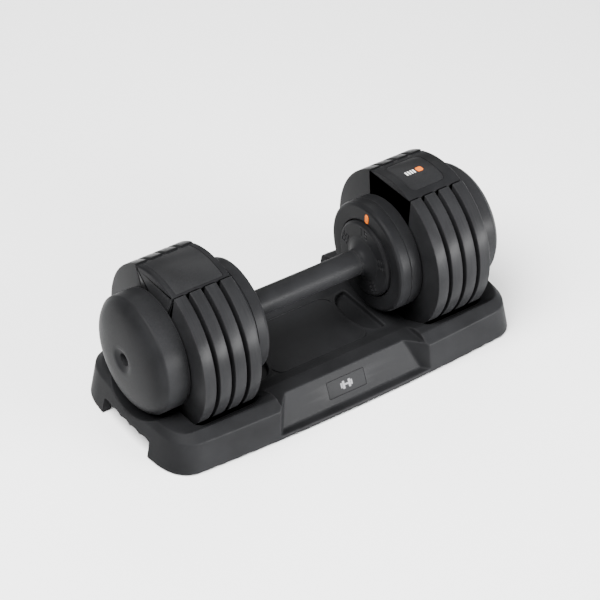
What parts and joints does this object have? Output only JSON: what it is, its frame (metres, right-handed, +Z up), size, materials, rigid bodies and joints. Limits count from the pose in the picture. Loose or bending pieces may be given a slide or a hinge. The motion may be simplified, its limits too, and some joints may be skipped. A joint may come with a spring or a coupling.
{
  "type": "adjustable dumbbell",
  "caption": "Twist-handle adjustable dumbbell with nested round weight plates, resting in a moulded storage tray with plate wells and finger grips.",
  "frame": {"origin": "Centre of the tray's footprint on the table, below the middle of the handle.", "axes": "+X runs along the handle to the end with the label panel, +Y to the back, +Z up. The front wall of the tray, with the badge, faces -Y."},
  "size_m": [0.4564, 0.208, 0.1912],
  "materials": {
    "tray_plastic": "fine moulded texture",
    "cover_plastic": "satin",
    "panel_plastic": "smooth satin",
    "grip_plastic": "fine knurled texture",
    "pointer_orange": "satin",
    "plate_coating": "satin powder coat",
    "selector_steel": "turned",
    "cap_iron": "as cast",
    "screw_black": "black oxide",
    "foot_rubber": "matte"
  },
  "bodies": {
    "tray": {"tray_shell": "tray_plastic", "front_badge": "panel_plastic", "foot_front_left": "foot_rubber", "foot_front_right": "foot_rubber", "foot_back_left": "foot_rubber", "foot_back_right": "foot_rubber", "left_plate_rack": "tray_plastic", "right_plate_rack": "tray_plastic"},
    "carriage": {"left_bridge": "cover_plastic", "left_top_panel": "panel_plastic", "left_end_cap": "cover_plastic", "left_cap_weight": "cap_iron", "left_end_screw": "screw_black", "left_housing_ring": "cover_plastic", "left_housing_back": "cover_plastic", "left_pointer": "pointer_orange", "left_lock_spring": "selector_steel", "right_bridge": "cover_plastic", "right_top_panel": "panel_plastic", "right_end_cap": "cover_plastic", "right_cap_weight": "cap_iron", "right_end_screw": "screw_black", "right_housing_ring": "cover_plastic", "right_housing_back": "cover_plastic", "right_pointer": "pointer_orange", "right_lock_spring": "selector_steel"},
    "selector": {"shaft": "selector_steel", "grip": "grip_plastic", "left_dial": "cover_plastic", "left_collar": "cover_plastic", "left_selector_disc_1": "selector_steel", "left_selector_disc_2": "selector_steel", "left_selector_disc_3": "selector_steel", "left_selector_disc_4": "selector_steel", "right_dial": "cover_plastic", "right_collar": "cover_plastic", "right_selector_disc_1": "selector_steel", "right_selector_disc_2": "selector_steel", "right_selector_disc_3": "selector_steel", "right_selector_disc_4": "selector_steel"},
    "left_plate_1": {"left_plate_1": "plate_coating"},
    "left_plate_2": {"left_plate_2": "plate_coating"},
    "left_plate_3": {"left_plate_3": "plate_coating"},
    "left_plate_4": {"left_plate_4": "plate_coating"},
    "left_lock_pin": {"left_lock_pin": "selector_steel"},
    "right_plate_1": {"right_plate_1": "plate_coating"},
    "right_plate_2": {"right_plate_2": "plate_coating"},
    "right_plate_3": {"right_plate_3": "plate_coating"},
    "right_plate_4": {"right_plate_4": "plate_coating"},
    "right_lock_pin": {"right_lock_pin": "selector_steel"}
  },
  "joints": [
    {"name": "dumbbell_lift", "type": "slide", "parent": "tray", "child": "carriage", "axis": [0, 0, 1], "range_m": [0, 0.24]},
    {"name": "handle_twist", "type": "hinge", "parent": "carriage", "child": "selector", "pos_m": [0, 0, 0.1], "axis": [-1, 0, 0], "range_deg": [0, 288]},
    {"name": "left_plate_1_release", "type": "slide", "parent": "carriage", "child": "left_plate_1", "axis": [0, 0, 1], "range_m": [-0.24, 0]},
    {"name": "left_plate_2_release", "type": "slide", "parent": "carriage", "child": "left_plate_2", "axis": [0, 0, 1], "range_m": [-0.24, 0]},
    {"name": "left_plate_3_release", "type": "slide", "parent": "carriage", "child": "left_plate_3", "axis": [0, 0, 1], "range_m": [-0.24, 0]},
    {"name": "left_plate_4_release", "type": "slide", "parent": "carriage", "child": "left_plate_4", "axis": [0, 0, 1], "range_m": [-0.24, 0]},
    {"name": "left_lock_pin_drop", "type": "slide", "parent": "carriage", "child": "left_lock_pin", "axis": [0, 0, -1], "range_m": [0, 0.0051], "deforming": ["left_lock_spring"]},
    {"name": "right_plate_1_release", "type": "slide", "parent": "carriage", "child": "right_plate_1", "axis": [0, 0, 1], "range_m": [-0.24, 0]},
    {"name": "right_plate_2_release", "type": "slide", "parent": "carriage", "child": "right_plate_2", "axis": [0, 0, 1], "range_m": [-0.24, 0]},
    {"name": "right_plate_3_release", "type": "slide", "parent": "carriage", "child": "right_plate_3", "axis": [0, 0, 1], "range_m": [-0.24, 0]},
    {"name": "right_plate_4_release", "type": "slide", "parent": "carriage", "child": "right_plate_4", "axis": [0, 0, 1], "range_m": [-0.24, 0]},
    {"name": "right_lock_pin_drop", "type": "slide", "parent": "carriage", "child": "right_lock_pin", "axis": [0, 0, -1], "range_m": [0, 0.0051], "deforming": ["right_lock_spring"]}
  ],
  "couplings": [
    {"joint": "left_plate_1_release", "follows": "dumbbell_lift", "ratio": -1},
    {"joint": "left_plate_2_release", "follows": "dumbbell_lift", "ratio": -1},
    {"joint": "left_plate_3_release", "follows": "dumbbell_lift", "ratio": -1},
    {"joint": "left_plate_4_release", "follows": "dumbbell_lift", "ratio": -1},
    {"joint": "left_lock_pin_drop", "follows": "dumbbell_lift", "ratio": 0.020833},
    {"joint": "right_plate_1_release", "follows": "dumbbell_lift", "ratio": -1},
    {"joint": "right_plate_2_release", "follows": "dumbbell_lift", "ratio": -1},
    {"joint": "right_plate_3_release", "follows": "dumbbell_lift", "ratio": -1},
    {"joint": "right_plate_4_release", "follows": "dumbbell_lift", "ratio": -1},
    {"joint": "right_lock_pin_drop", "follows": "dumbbell_lift", "ratio": 0.020833}
  ]
}
